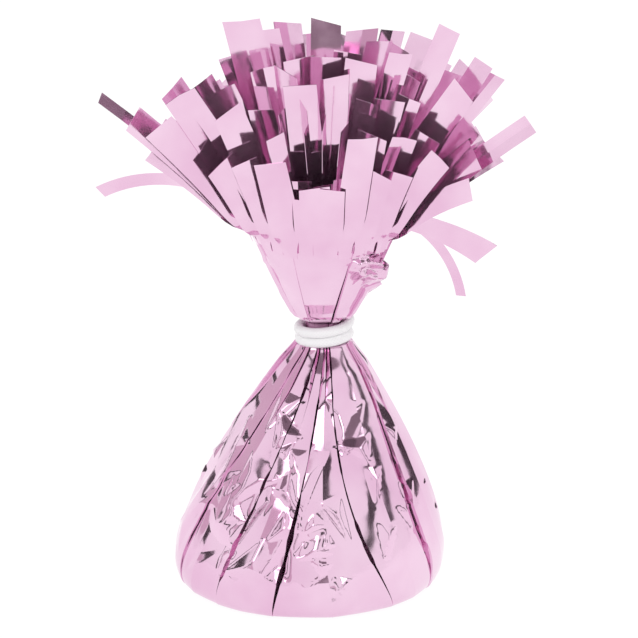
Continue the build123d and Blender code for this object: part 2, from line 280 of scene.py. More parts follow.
# %% Facets
def facets(azimuth, radius, run, table):
    """Three-sided pyramids: depth x (1 - the largest of three distances / size), where that is above 0.

    A row of the table has the azimuth and the run of the middle, the size, the stretch and the turn of the
    long side, the depth, and the share of the height that is cut off flat.
    """
    total = np.zeros(np.broadcast(azimuth, run).shape)
    for middle, height, size, stretch, turn, depth, flat in table:
        side = turn_apart(azimuth, middle) * radius
        rise = run - height
        along = (side * math.sin(turn) + rise * math.cos(turn)) / stretch
        off = side * math.cos(turn) - rise * math.sin(turn)
        first = np.maximum(0.87 * off - 0.5 * along, -0.87 * off - 0.5 * along)
        total += depth * np.clip(1.0 - np.maximum(first, along) / size, 0.0, 1.0 - flat)
    return total


def by_hand(rows):
    """Rows for facets, whose azimuths are given in degrees."""
    table = np.array(rows, float)
    table[:, 0] = np.radians(table[:, 0])
    return table


def scattered(count, seed, low, high, first, last, size, depth):
    """Rows for facets, scattered evenly over spans of run and azimuth (degrees)."""
    number = np.arange(count) + seed
    middle = np.radians(first + (last - first) * (0.5 + 0.5 * spread(number)))
    height = low + (high - low) * ((number * 0.754878) % 1.0)
    sizes = size * (1.0 + 0.5 * spread(5 * number))
    stretch = 1.6 + 0.9 * spread(7 * number)
    turn = 0.9 * spread(3 * number) + np.pi * (number % 2)
    depths = depth * np.where(number % 3 == 0, -1.0, 1.0) * (0.75 + 0.5 * spread(11 * number))
    return np.stack([middle, height, sizes, stretch, turn, depths, 0.25 + 0.25 * spread(13 * number)], axis=1)


def lifted(flat, radius, height, lift):
    """Pleated rows at their real radius and height, moved outwards by the lift."""
    outward = flat / np.linalg.norm(flat, axis=-1, keepdims=True)
    return about_middle(flat * radius[:, None, None] + outward * lift[..., None], height[:, None])


print("three scattered sizes:", scattered(3, 1, 0.0, 1.0, 0.0, 90.0, 2.0, 1.0)[:, 2].round(2))

# %% [markdown]
# ## The skirt's outline
# From the flat foot the film goes up over the core to the neck, in one convex cone. A lathe could turn it;
# here radius and height stay rows of numbers, evenly spaced, so that creases can be laid on them.

# %% Skirt profile
SKIRT_ROWS, FOOT_ROWS, NECK_ROWS, SMOOTHING = 205, 10, 14, 24
HEEL = [(29.5, 0.0), (31.0, 0.15), (32.2, 0.9), (33.0, 2.5), (33.6, 5.0)]
CONE_LOW, CONE_HIGH, BELLY = (33.8, 8.0), (9.4, NECK_BOTTOM - 1.8), 3.0
NECK_END = [(8.4, NECK_BOTTOM - 1.3), (7.6, NECK_BOTTOM - 0.2), (7.1, NECK_BOTTOM + 0.7),
            (5.2, NECK_BOTTOM + 1.1), (4.6, NECK_MIDDLE)]


def evenly(radius, height, count):
    """A profile's corners, measured along their polyline and read off again in equal steps."""
    length = np.append(0.0, np.cumsum(np.hypot(np.diff(radius), np.diff(height))))
    run = np.linspace(0.0, length[-1], count)
    return np.interp(run, length, radius), np.interp(run, length, height), run


def skirt_profile():
    """Heel, cone and neck: the cone is a straight line plus belly x sin(pi x share to the power 0.8).

    All but the rows at the neck are then smoothed by their neighbours.
    """
    share = np.linspace(0.0, 1.0, 60)
    cone_radius = CONE_LOW[0] + share * (CONE_HIGH[0] - CONE_LOW[0]) + BELLY * np.sin(np.pi * share ** 0.8)
    cone_height = CONE_LOW[1] + share * (CONE_HIGH[1] - CONE_LOW[1])
    cone = np.stack([cone_radius, cone_height], axis=-1)[2:-3]
    radius, height, run = evenly(*np.concatenate([HEEL, cone, NECK_END]).T, SKIRT_ROWS)
    here, below, above = slice(1, -NECK_ROWS), slice(0, -NECK_ROWS - 1), slice(2, 1 - NECK_ROWS)
    for _ in range(SMOOTHING):
        for line in (radius, height):
            line[here] = 0.25 * line[below] + 0.5 * line[here] + 0.25 * line[above]
    return radius, height, run


print("film from foot to neck:", round(float(skirt_profile()[2][-1]), 1), "mm")

# %% [markdown]
# ## The skirt's creases
# The sheet is wider than the neck, so it lies in long pleats that run together there. In front their
# creases are laid where the real ones are, and round the back evenly, with short gathers near the neck.
# They could be set row by row, but a parabola of azimuth over height needs only three values.

# %% Crease lines
def all_round(front, count):
    """Crease angles at foot, middle and neck: the given ones, then some spread over the rest of the round."""
    front = np.array(front, float)
    share = (np.arange(count)[:, None] + 1.0) / (count + 1)
    gap = front[0] + 360.0 - front[-1]
    rest = front[-1] + gap * share + 0.12 * gap / count * spread(np.arange(count) * 3 + 1)[:, None]
    return np.radians(np.concatenate([front, rest]))


def with_gathers(table):
    """Between each two creases goes a short one, which only shows near the neck."""
    after = np.roll(table, -1, axis=0)
    after[-1] += 2.0 * np.pi
    share = (0.5 + 0.15 * spread(np.arange(len(table)) * 5 + 2))[:, None]
    return np.stack([table, table + (after - table) * share], axis=1).reshape(-1, 3)


def three_point(share, table):
    """The parabola through a value at the foot, one half way up and one at the neck, for each crease."""
    foot, middle, neck = table.T
    share = share[:, None]
    low, high = foot * (1 - share) * (1 - 2 * share), neck * share * (2 * share - 1)
    return low + 4 * middle * share * (1 - share) + high


def by_height(up, table):
    """Values read off a table of (share of the height, value)."""
    return np.interp(up, *np.array(table).T)


# A row: azimuth at foot, middle and neck, then the opening's width, its least share, and its gape low down.
FRONT_CREASES = np.array([
    (-165, -150, -132, 0.35, 0.0, 0.0), (-135, -121, -104, 1.2, 0.7, 0.3), (-106, -98, -90, 0.6, 0.2, 0.7),
    (-48, -73, -78, 0.8, 0.7, 0.0), (-20, -34, -26, 0.9, 0.7, 0.0),
])
BACK_CREASES = 9
SKIRT_CREASES = with_gathers(all_round(FRONT_CREASES[:, :3], BACK_CREASES))
print("creases on the skirt, gathers among them:", len(SKIRT_CREASES))

# %% [markdown]
# ## The skirt
# The film is crumpled at the front left and smooth at the right. It could be draped by simulation, but
# film folds in straight lines, which panels and facets give directly. Long creases open and close on
# their way up.

# %% Skirt
SLOT_DEPTH, GATHER_DEPTH, GATHER_WIDTH = 3.2, 1.2, 0.4
SWELL = [(0.0, 0.1), (0.05, 0.4), (0.2, 1.4), (0.4, 1.1), (0.6, 0.6), (0.9, 0.7), (1.0, 0.5)]
GAPING = [(0.12, 0.0), (0.17, 1.0), (0.33, 0.9), (0.42, 0.0)]
STEPPING = [(0.0, 0.2), (0.06, 0.3), (0.3, 1.0), (0.8, 1.2), (1.0, 3.0)]
SLOTTING = [(0.0, 0.0), (0.04, 0.1), (0.12, 1.0), (0.85, 1.0), (1.0, 0.4)]
NEAR_NECK = [(0.72, 0.0), (0.95, 1.0)]


def skirt_facets():
    """Facets in front where the real film has them, and scattered ones round the rest."""
    picked = [
        (-127, 55, 2.0, 2.0, 0.3, 0.8, 0.3), (-117, 49, 2.6, 1.3, 2.6, 1.1, 0.2),
        (-129, 36, 3.6, 1.5, 0.5, 1.5, 0.3), (-134, 27, 2.2, 1.3, 2.9, 1.0, 0.2),
        (-116, 16, 3.6, 1.2, 1.2, 1.6, 0.2), (-98, 37, 2.8, 3.0, 0.1, 1.0, 0.3),
        (-104, 26, 2.2, 1.4, 0.8, 1.0, 0.1), (-78, 29, 1.7, 3.0, -0.4, 0.8, 0.2),
        (-62, 45, 2.4, 1.4, 1.8, 1.1, 0.1), (-68, 52, 3.4, 1.5, 0.2, -1.6, 0.3),
        (-78.5, 10.5, 1.3, 3.0, 0.35, 2.6, 0.0), (-104, 17, 2.2, 2.2, 3.3, -1.7, 0.2),
        (-55, 36, 1.3, 2.8, 0.1, 0.7, 0.2), (-53, 22, 1.6, 2.2, 0.2, 0.9, 0.2),
        (-32, 31, 1.5, 1.8, 0.2, 0.8, 0.2), (-37, 26, 1.4, 2.4, -0.3, 0.8, 0.2),
        (-111, 41, 3.4, 2.0, 0.2, 0.6, 0.5), (-88, 21, 2.0, 1.6, 1.0, 0.9, 0.1),
        (-146, 18, 4.6, 1.3, 0.6, -1.0, 0.5), (-150, 36, 2.6, 1.8, 0.5, 0.9, 0.2),
        (-92, 11, 1.6, 2.0, 0.3, 0.7, 0.2), (-122, 28, 1.4, 4.0, 0.3, -1.3, 0.2),
        (-131, 15, 1.2, 3.6, 0.3, -1.1, 0.2), (-90, 27, 1.3, 1.6, 0.8, 0.8, 0.1),
        (-86, 17, 1.5, 1.4, 2.2, 0.9, 0.1), (-95, 22, 1.2, 2.0, 0.4, -0.8, 0.2),
        (-83, 23, 1.1, 1.8, 2.9, 0.7, 0.1),
    ]
    front = scattered(8, 1, 10.0, 56.0, -158.0, -84.0, 1.8, 0.7)
    right = scattered(5, 40, 14.0, 48.0, -50.0, 20.0, 1.2, 0.5)
    back = scattered(30, 70, 8.0, 56.0, 20.0, 200.0, 2.6, 1.1)
    return np.concatenate([by_hand(picked), front, right, back])


def zigzag(turns):
    """Straight lines from 1 down to 0 and up again, over every two turns."""
    return np.abs(turns % 2.0 - 1.0)


def skirt_pleats(up, radius):
    """Outlines of the pleats, row by row; openings, steps and slots follow the share of the height.

    A long crease opens by its gape plus width x swell x a jagged share, which sums two zigzags.
    """
    number = np.arange(len(SKIRT_CREASES))
    long = number % 2 == 0
    back = np.arange(BACK_CREASES)
    width, least, gape = np.zeros((3, len(SKIRT_CREASES)))
    width[long] = np.append(FRONT_CREASES[:, 3], 0.75 + 0.5 * spread(back * 5 + 1))
    least[long] = np.append(FRONT_CREASES[:, 4], np.full(BACK_CREASES, 0.2))
    gape[long] = np.append(FRONT_CREASES[:, 5], np.zeros(BACK_CREASES))
    crease = three_point(up, SKIRT_CREASES)
    up, radius = up[:, None], radius[:, None]
    zigzags = zigzag(up * 6.0 + 0.37 * number) + 0.6 * zigzag(up * 17.0 + 0.61 * number)
    jagged = np.clip(1.5 * zigzags - 0.35, least, 1.3)
    near_neck = by_height(up, NEAR_NECK)
    long_opening = gape * by_height(up, GAPING) + width * by_height(up, SWELL) * jagged
    opening = np.where(long, long_opening, GATHER_WIDTH * near_neck) / radius
    long_step = (0.03 + 0.015 * spread(7 * number + 2)) * by_height(up, STEPPING)
    step = np.where(long, long_step, 0.1 * near_neck)
    slot = np.where(long, SLOT_DEPTH * by_height(up, SLOTTING), GATHER_DEPTH * near_neck) / radius
    return pleated_rows(crease, step, slot, opening, (number // 2) % 3 == 1)


def skirt_side():
    """The skirt's side as a grid, with facets that fade at the foot and the neck."""
    radius, height, run = skirt_profile()
    flat = skirt_pleats(np.clip(height / NECK_BOTTOM, 0.0, 1.0), radius)
    azimuth = np.arctan2(flat[..., 1], flat[..., 0])
    above_foot = np.clip((height - 2.0) / 5.0, 0.0, 1.0)[:, None]
    below_neck = np.clip((NECK_BOTTOM - height) / 6.0, 0.0, 1.0)[:, None]
    lift = facets(azimuth, radius[:, None], run[:, None], skirt_facets()) * above_foot * below_neck
    return lifted(flat, radius, height, lift)


def foil_skirt():
    """The side grid, closed by a foot of shrinking rows below and a cap in the neck above."""
    side = skirt_side()
    columns = side.shape[1]
    shrink = (np.arange(1, FOOT_ROWS) / FOOT_ROWS)[:, None, None]
    foot = side[0][None] * np.concatenate([shrink, shrink, 0 * shrink + 1.0], axis=-1)
    rows = np.concatenate([foot, side])
    points = np.concatenate([rows.reshape(-1, 3), [[0.0, 0.0, 0.0], [NECK_SHIFT, 0.0, NECK_MIDDLE]]])
    first, last = np.arange(columns), np.arange(columns) + (len(rows) - 1) * columns
    low_cap = np.stack([np.roll(first, -1), first, np.full(columns, len(points) - 2)], axis=1)
    high_cap = np.stack([last, np.roll(last, -1), np.full(columns, len(points) - 1)], axis=1)
    faces = grid_quads(len(rows), columns, True).tolist() + low_cap.tolist() + high_cap.tolist()
    piece = film_piece("foil_skirt_film", points, faces, FOIL)
    sharpen_columns(piece, columns, crease_columns(len(SKIRT_CREASES)))
    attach(piece, ROOT)
    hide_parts("foil_skirt")
    return piece


skirt = foil_skirt()
print("skirt faces:", len(skirt.data.polygons))

# %% [markdown]
# ## The collar
# Above the tie the film opens again, uncut up to the ends of the slits. Its creases are deep at the tie and
# fade upwards, and at the front right a crumpled corner sticks out. It could be one shape with the skirt,
# but it is open at the top, so it is a film of its own, with an edge from Solidify.

# %% Collar outline
COLLAR_ROWS = 90
COLLAR_RADII = [4.6, 4.75, 6.2, 7.3, 8.4, 10.6, 14.2, RIM_RADIUS]
COLLAR_RISES = [NECK_BOTTOM - NECK_TOP + 0.3, -0.2, 0.4, 0.9, 2.2, 6.2, 14.0, RIM_HEIGHT - NECK_TOP]
# A row: azimuth at the tie, half way up and at the rim, then the strength and how broad the slot is.
COLLAR_CREASES = np.array([
    (-141, -147, -150, 0.18, 2.4), (-118, -117, -116, 0.03, 0.6), (-75, -68, -66, 0.13, 1.2),
    (-57, -44, -38, 0.18, 2.6), (-28, -18, -12, 0.15, 1.6),
])
COLLAR_BACK = 9
STEP_FADE = [(0.0, 0.8), (0.15, 1.0), (0.6, 0.5), (1.0, 0.2)]
SLOT_FADE = [(0.0, 0.4), (0.1, 1.0), (0.55, 0.5), (0.8, 0.0)]


def collar_outline():
    """The collar's outlines for a middle radius of 1, and the radius, height and run of each row."""
    radius, rise, run = evenly(COLLAR_RADII, COLLAR_RISES, COLLAR_ROWS)
    height = NECK_TOP + rise
    up = np.clip((height - NECK_TOP) / (RIM_HEIGHT - NECK_TOP), 0.0, 1.0)
    table = all_round(COLLAR_CREASES[:, :3], COLLAR_BACK)
    number = np.arange(len(table))
    strength = np.append(COLLAR_CREASES[:, 3], 0.11 + 0.04 * spread(np.arange(COLLAR_BACK) * 7))
    broad = np.append(COLLAR_CREASES[:, 4], np.ones(COLLAR_BACK)) * np.minimum(strength / 0.12, 1.0)
    step = strength * by_height(up, STEP_FADE)[:, None]
    fade = by_height(up, SLOT_FADE)[:, None]
    slot = np.minimum(strength * 1.6, 0.2) * fade
    opening = (0.45 + 0.25 * spread(5 * number)) * broad * fade / radius[:, None]
    flat = pleated_rows(three_point(up, table), step, slot, opening, number % 2 == 0)
    return flat, radius, height, run


COLLAR_FLAT, COLLAR_RADIUS, COLLAR_HEIGHT, COLLAR_RUN = collar_outline()


def rim_radius(azimuth):
    """Radius of the collar's top row at some azimuths (radians)."""
    angle = np.arctan2(COLLAR_FLAT[-1, :, 1], COLLAR_FLAT[-1, :, 0])
    order = np.argsort(angle)
    reach = np.linalg.norm(COLLAR_FLAT[-1], axis=-1) * RIM_RADIUS
    return np.interp(turn_apart(azimuth, 0.0), angle[order], reach[order], period=2.0 * np.pi)


print("collar film from the tie to the rim:", round(float(COLLAR_RUN[-1]), 1), "mm")

# %% Collar
def collar_lift():
    """Scattered facets that fade below the rim, and the crumpled corner with its point, the last row."""
    right = scattered(7, 3, 14.0, 26.0, -30.0, 40.0, 1.8, 0.5)
    back = scattered(16, 30, 12.0, 26.0, 40.0, 215.0, 2.0, 0.5)
    crumpled = by_hand([
        (-60, 27.5, 1.7, 1.4, 0.1, 2.8, 0.3), (-50, 28.0, 1.9, 1.4, 0.4, 3.2, 0.3),
        (-41, 27.5, 1.9, 1.3, -0.3, 3.2, 0.3), (-54, 24.5, 1.6, 1.2, 0.3, 2.4, 0.2),
        (-44, 24.0, 1.6, 1.2, -0.3, 2.6, 0.2), (-34, 25.0, 2.2, 1.4, 0.1, 3.4, 0.1),
        (-29, 22.5, 2.4, 1.8, -0.6, 5.0, 0.1),
    ])
    azimuth = np.arctan2(COLLAR_FLAT[..., 1], COLLAR_FLAT[..., 0])
    radius, run = COLLAR_RADIUS[:, None], COLLAR_RUN[:, None]
    below_rim = np.clip((COLLAR_RUN[-1] - 3.0 - run) / 4.0, 0.0, 1.0)
    spots = facets(azimuth, radius, run, np.concatenate([right, back])) * below_rim
    return spots + facets(azimuth, radius, run, crumpled)


def foil_collar():
    """The collar's outlines at their real size, lifted by the facets."""
    points = lifted(COLLAR_FLAT, COLLAR_RADIUS, COLLAR_HEIGHT, collar_lift())
    columns = points.shape[1]
    quads = grid_quads(COLLAR_ROWS, columns, True).tolist()
    piece = film_piece("collar_film", points.reshape(-1, 3), quads, FOIL)
    sharpen_columns(piece, columns, crease_columns(len(COLLAR_CREASES) + COLLAR_BACK))
    film_edge(piece, -1.0)
    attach(piece, ROOT)
    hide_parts("collar_outer_folds", "neck_gather")
    return piece


collar = foil_collar()
print("collar quads:", len(collar.data.polygons))

# %% [markdown]
# ## The inner folds
# Inside the collar the rest of the sheet stands in deep folds, like an accordion bent into a ring. Walls
# could be placed one by one, but one formula does it: fold by fold, the tilt swings between almost upright
# and the collar.

# %% Inner folds
FOLD_COUNT, FOLD_STEPS, FOLD_ROWS = 24, 10, 22
FOLD_START, FOLD_OUTER, FOLD_INNER = 8.5, 21.5, 5.0


def fan_points(azimuth, reach, tilt):
    """Points at a reach and tilt (radians) from the point in the neck that the whole fringe fans out from."""
    radius = reach * np.sin(tilt)
    height = FAN_HEIGHT + reach * np.cos(tilt)
    return np.stack([NECK_SHIFT + radius * np.cos(azimuth), radius * np.sin(azimuth), height], axis=-1)


def inner_folds():
    """A zigzag in tilt over the azimuth, once a fold, whose ends and heights scatter from fold to fold."""
    count = FOLD_COUNT * FOLD_STEPS
    azimuth = np.linspace(0.0, 2.0 * np.pi, count, endpoint=False)[None, :]
    fold = np.floor(azimuth / (2.0 * np.pi) * FOLD_COUNT)
    swing = np.abs(((azimuth / (2.0 * np.pi) * FOLD_COUNT) % 1.0) * 2.0 - 1.0)
    share = np.linspace(0.0, 1.0, FOLD_ROWS)[:, None]
    reach = FOLD_START + share * (FAN_REACH - 1.0 + 0.8 * spread(17 * fold) - FOLD_START)
    outer = np.radians(FOLD_OUTER + 1.5 * spread(7 * fold))
    inner = np.radians(FOLD_INNER + 2.5 * spread(11 * fold))
    tilt = inner + (outer - inner) * swing
    crinkle = 0.02 * np.sin(9.0 * share + 5.0 * fold) * share
    points = fan_points(azimuth + crinkle, reach, tilt).reshape(-1, 3)
    quads = grid_quads(FOLD_ROWS, count, True).tolist()
    piece = film_piece("collar_inner_film", points, quads, FOIL, smooth=False)
    film_edge(piece, 0.0)
    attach(piece, ROOT)
    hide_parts("collar_inner_folds")
    return piece


folds = inner_folds()
print("inner fold quads:", len(folds.data.polygons))

# %% [markdown]
# ## The fringe
# Each strip is a ribbon: a middle line, a width and a roll about that line. It is narrow at its root, then
# twists to its own roll, widens, and ends in a slanting cut; some have a fold along the middle, which shows
# as two tones. Copies of one strip would look alike, so all the strips of a node are worked out together,
# as one array of strip by row by corner.

# %% Ribbons
STRIP_ROWS = 16
ACROSS = np.array([-1.0, -0.5, 0.0, 0.5, 1.0])
LOOP = 2 * len(ACROSS)


def ribbon_faces(strips, rows):
    """Closed ribbons: top side, bottom side and edges as a wrapped grid of corners, and caps at both ends."""
    wide = len(ACROSS)
    grid = np.arange(rows * LOOP).reshape(rows, LOOP)
    after = np.roll(grid, -1, axis=1)
    sides = np.stack([grid[:-1], grid[1:], after[1:], after[:-1]], axis=-1).reshape(-1, 4)
    top, under = np.arange(wide - 1), LOOP - 1 - np.arange(wide - 1)
    start = np.stack([top, top + 1, under - 1, under], axis=1)
    end = start[:, ::-1] + (rows - 1) * LOOP
    one = np.concatenate([sides, start, end])
    return (one[None] + (np.arange(strips) * rows * LOOP)[:, None, None]).reshape(-1, 4).tolist()


def sharpen_ribbons(piece, rows):
    """Borders, middle folds and both ends of ribbons are sharp, so that only the length bends smoothly."""
    ends = edge_ends(piece)
    column, row = ends % LOOP, ends // LOOP % rows
    lengthwise = (column[:, 0] == column[:, 1]) & np.isin(column[:, 0] % len(ACROSS), (0, 2, 4))
    at_end = (row[:, 0] == row[:, 1]) & np.isin(row[:, 0], (0, rows - 1))
    mark_sharp(piece, lengthwise | at_end)


def rolled(along, roll):
    """The ways across a ribbon and off its face, turned by a roll (radians) about the way along it."""
    upright = np.stack([-along[..., 2], 0 * along[..., 0], along[..., 0]], axis=-1)
    sideways = np.broadcast_to(np.array([0.0, 1.0, 0.0]), along.shape)
    cos, sin = np.cos(roll), np.sin(roll)
    return sideways * cos + upright * sin, upright * cos - sideways * sin


def ribbon_points(line, wide_way, face_way, half_width, fold, slant):
    """Corners of ribbons round their lines: across the width, lifted by the fold, on both sides of the film.

    The last row is pushed along by slant x the place across, which cuts the end at an angle.
    """
    side = half_width[..., None] * ACROSS
    lift = fold[:, None, None] * np.abs(side)
    ahead = line[:, -1] - line[:, -2]
    ahead = ahead / np.linalg.norm(ahead, axis=-1, keepdims=True)
    wide_way, face_way = wide_way[:, :, None, :], face_way[:, :, None, :]
    middle = line[:, :, None, :] + side[..., None] * wide_way + lift[..., None] * face_way
    middle[:, -1] += (slant[:, None] * side[:, -1])[..., None] * ahead[:, None, :]
    top = middle + FILM / 2 * face_way
    under = middle[:, :, ::-1] - FILM / 2 * face_way
    return np.concatenate([top, under], axis=2)


def smooth_step(share):
    """Rises from 0 to 1 with level ends: 3 x squared less 2 x cubed."""
    share = np.clip(share, 0.0, 1.0)
    return share * share * (3.0 - 2.0 * share)


def placed(corners, azimuth):
    """Corners worked out in the plane of azimuth 0, turned to their own azimuth round the neck."""
    across, deep, up = corners[..., 0], corners[..., 1], corners[..., 2]
    cos, sin = np.cos(azimuth)[:, None, None], np.sin(azimuth)[:, None, None]
    return np.stack([NECK_SHIFT + across * cos - deep * sin, across * sin + deep * cos, up], axis=-1)


def in_plane(place):
    """Radius and height of some points, as points in the plane of azimuth 0 with room for the rows."""
    return np.stack([place[:, 0], 0 * place[:, 0], place[:, 1]], axis=-1)[:, None]


def strip_corners(root, handle, tip, roll, twisted, root_width, tip_width, number):
    """Strips through root, handle and tip, given as radius and height, as ribbon corners.

    The middle line is a parabola that leaves the root towards the handle. The roll of a twisted strip turns
    from lying flat to its own value near the root, where all strips grow to their full width.
    """
    share = (np.linspace(0.0, 1.0, STRIP_ROWS) ** 1.4)[None, :, None]
    root, handle, tip = in_plane(root), in_plane(handle), in_plane(tip)
    line = (1 - share) ** 2 * root + 2 * share * (1 - share) * handle + share ** 2 * tip
    along = 2 * (1 - share) * (handle - root) + 2 * share * (tip - handle)
    along = along / np.linalg.norm(along, axis=-1, keepdims=True)
    share = share[..., 0]
    twist = np.where(twisted[:, None], smooth_step((share - 0.12) / 0.25), 1.0)
    wide_way, face_way = rolled(along, (np.radians(roll)[:, None] * twist)[..., None])
    half = 0.5 * (root_width[:, None] + (tip_width - root_width)[:, None] * smooth_step(share / 0.5))
    fold = 0.5 * np.maximum(0.0, np.abs(spread(23 * number)) - 0.6) * np.sign(spread(19 * number))
    return ribbon_points(line, wide_way, face_way, half, fold, 0.3 * spread(37 * number))


print("quads of one strip:", len(ribbon_faces(1, STRIP_ROWS)))

# %% [markdown]
# ## Where each strip goes
# A tuft has rings of strips, and ring 0 is the lowest. Chance could lay them, but the layout repeats the one
# of the solids, number by number, so each solid strip has its film. Most strips show a face to the front,
# and every fourth one is turned anyhow. Strips that stand out in the photograph have their own numbers.

# %% Strip layout
RING_STRIPS = (4, 3, 3, 2, 1)
OUTER_RINGS, INNER_RINGS = (0, 1), (2, 3, 4)
LOW_TILT, RING_STEP, LOW_LENGTH, TOP_LENGTH, LENGTH_SCATTER = 39.5, 7.5, 38.2, 42.2, 3.5
ROOT_WIDTH, TIP_WIDTH, TIP_SCATTER = 2.4, 7.0, 1.2
FREE_SCATTER, FACE_SCATTER = 90.0, 6.0
FRONT_LIFT = 0.35
SHORTER_BY = {"right": 9.0, "back_left": 12.0, "left": 10.0,
              "front_left": 16.0, "front": 26.0, "front_right": 14.0}
# Tuft and ring and place of a strip, then its azimuth, tilt, length, tip width and turn.
PICKED = {
    ("left", 3, 1): (191, 13.6, 49.4, 9.0, 0), ("left", 1, 1): (180, 29.2, 38.8, 7.0, 0),
    ("left", 2, 2): (198, 23.7, 39.9, 6.0, 0), ("left", 0, 3): (195, 37.6, 41.2, 6.5, 0),
    ("left", 0, 1): (175, 41.3, 46.2, 2.6, 0), ("front_left", 0, 0): (207, 35.6, 39.4, 8.0, 0),
    ("front_left", 2, 0): (212, 23.4, 39.0, 9.0, 0), ("front_left", 1, 0): (209, 29.6, 43.2, 8.0, 0),
    ("front_left", 1, 1): (225, 26.0, 37.2, 7.5, 0), ("front_left", 1, 2): (242, 22.5, 28.2, 5.0, 25),
    ("front", 3, 0): (254, 16.2, 38.4, 8.0, 0), ("front", 2, 0): (259, 20.0, 29.2, 5.0, 75),
    ("front", 2, 1): (270, 20.0, 31.2, 5.0, 80), ("front", 2, 2): (283, 19.5, 29.2, 5.0, 70),
    ("front", 1, 0): (254, 22.5, 15.2, 5.0, 0), ("front", 1, 1): (270, 22.5, 14.2, 5.0, 0),
    ("front", 1, 2): (283, 22.5, 16.2, 5.0, 40), ("front", 0, 3): (288, 26.0, 31.4, 7.0, 0),
    ("front", 0, 0): (255.5, 25.7, 11.7, 4.6, 0), ("front_right", 0, 0): (300, 28.5, 21.2, 5.4, 0),
    ("front_right", 0, 2): (320, 33.5, 29.2, 6.0, 0), ("front_right", 2, 0): (300, 17.0, 33.8, 5.5, 0),
    ("front_right", 3, 1): (330, 15.4, 43.5, 5.5, 0), ("front_right", 0, 3): (331, 41.1, 24.5, 5.5, 0),
    ("right", 2, 0): (-18, 27.3, 40.3, 7.0, 0), ("right", 0, 1): (-6, 40.7, 40.4, 5.0, 0),
    ("right", 2, 1): (0, 20.6, 49.6, 5.6, 0), ("right", 1, 0): (-14, 32.0, 33.2, 6.0, 0),
    ("right", 1, 1): (4, 28.5, 44.8, 5.2, 0), ("right", 1, 2): (13, 32.8, 42.6, 5.2, 0),
}


def by_rule(tuft, ring, place, number):
    """Azimuth, tilt, length, tip width and turn of a strip: even steps, each with a scatter of its own."""
    count = RING_STRIPS[ring]
    azimuth = TUFT_TURN * (tuft + (place + 0.5 + 0.1 * spread(number)) / count - 0.5)
    tilt = LOW_TILT - RING_STEP * ring + RING_STEP * 0.1 * spread(3 * number)
    tilt = tilt * (1.0 - FRONT_LIFT * max(0.0, -math.sin(math.radians(azimuth))))
    low = LOW_LENGTH - SHORTER_BY.get(TUFTS[tuft], 0.0)
    length = low + ring / 4.0 * (TOP_LENGTH - low) + LENGTH_SCATTER * spread(7 * number)
    width = TIP_WIDTH + TIP_SCATTER * spread(11 * number)
    turn = (FREE_SCATTER if number % 4 == 0 else FACE_SCATTER) * spread(5 * number)
    return azimuth, tilt, length, width, turn


def layout(tuft, rings):
    """Azimuth, tilt, reach, tip width, turn, ring and number of the strips of some rings, as arrays."""
    rows = []
    for ring in rings:
        for place in range(RING_STRIPS[ring]):
            number = 31 * tuft + 7 * ring + 3 * place + 1
            ruled = by_rule(tuft, ring, place, number)
            azimuth, tilt, length, width, turn = PICKED.get((TUFTS[tuft], ring, place), ruled)
            rows.append((azimuth, tilt, FAN_REACH + length, width, turn, ring, number))
    return np.array(rows, float).T


print("strips:", len(TUFTS) * sum(RING_STRIPS), "of them laid by hand:", len(PICKED))

# %% [markdown]
# ## The strips of a tuft
# The lowest ring goes on from the collar's rim: its strips start as wide as their share of it, just outside
# its film. The other rings start between the inner folds.

# %% Fringe
VIEW_ELEVATION = math.radians(18.0)
RIM_LEAN, RIM_SHARE = math.radians(18.4), math.radians(11.4)
ROOT_BELOW, LOW_ROOT_BELOW, LOW_ROOT_SCATTER = 5.0, 3.0, 1.8
OUTSIDE, HANDLE = 0.3, 6.0


def fan_place(reach, tilt):
    """Radius and height at a reach and a tilt (radians) from the point that the fringe fans out from."""
    return np.stack([reach * np.sin(tilt), FAN_HEIGHT + reach * np.cos(tilt)], axis=-1)


def facing_roll(azimuth, slope):
    """Roll (degrees) that turns a strip's face to the viewer: the angle of the view across the strip."""
    level, down = math.cos(VIEW_ELEVATION), math.sin(VIEW_ELEVATION)
    across = level * np.cos(azimuth)
    upright = level * np.cos(slope) * np.sin(azimuth) + down * np.sin(slope)
    return np.degrees(np.arctan2(across, upright))


def fringe_points(tuft, rings):
    """Corners of all the strips of some rings of a tuft, and how many strips they are."""
    azimuth, tilt, reach, width, turn, ring, number = layout(tuft, rings)
    azimuth, tilt = np.radians(azimuth), np.radians(tilt)
    low = ring == 0
    rim = rim_radius(azimuth)
    tip = fan_place(reach, tilt)
    on_rim = np.stack([rim, np.full_like(rim, RIM_HEIGHT)], axis=-1)
    in_folds = fan_place(FAN_REACH, np.radians((LOW_TILT - RING_STEP * ring) * RIM_TILT / LOW_TILT))
    seat = np.where(low[:, None], on_rim, in_folds)
    slope = np.arctan2(tip[:, 0] - seat[:, 0], tip[:, 1] - seat[:, 1])
    roll = (facing_roll(azimuth, slope) + turn + 90.0) % 180.0 - 90.0
    film_slope = np.where(low, RIM_LEAN, slope)
    upward = np.stack([np.sin(film_slope), np.cos(film_slope)], axis=-1)
    off_film = np.stack([np.cos(film_slope), -np.sin(film_slope)], axis=-1)
    outside = np.where(low, OUTSIDE, 0.0)[:, None] * off_film
    below = np.where(low, LOW_ROOT_BELOW + LOW_ROOT_SCATTER * spread(13 * number), ROOT_BELOW)
    root = seat - upward * below[:, None] + outside
    handle = np.where(low[:, None], seat + upward * HANDLE + outside, 0.5 * (root + tip))
    root_width = np.where(low, rim * RIM_SHARE, ROOT_WIDTH)
    corners = strip_corners(root, handle, tip, roll, low, root_width, width, number)
    return placed(corners, azimuth).reshape(-1, 3), len(azimuth)


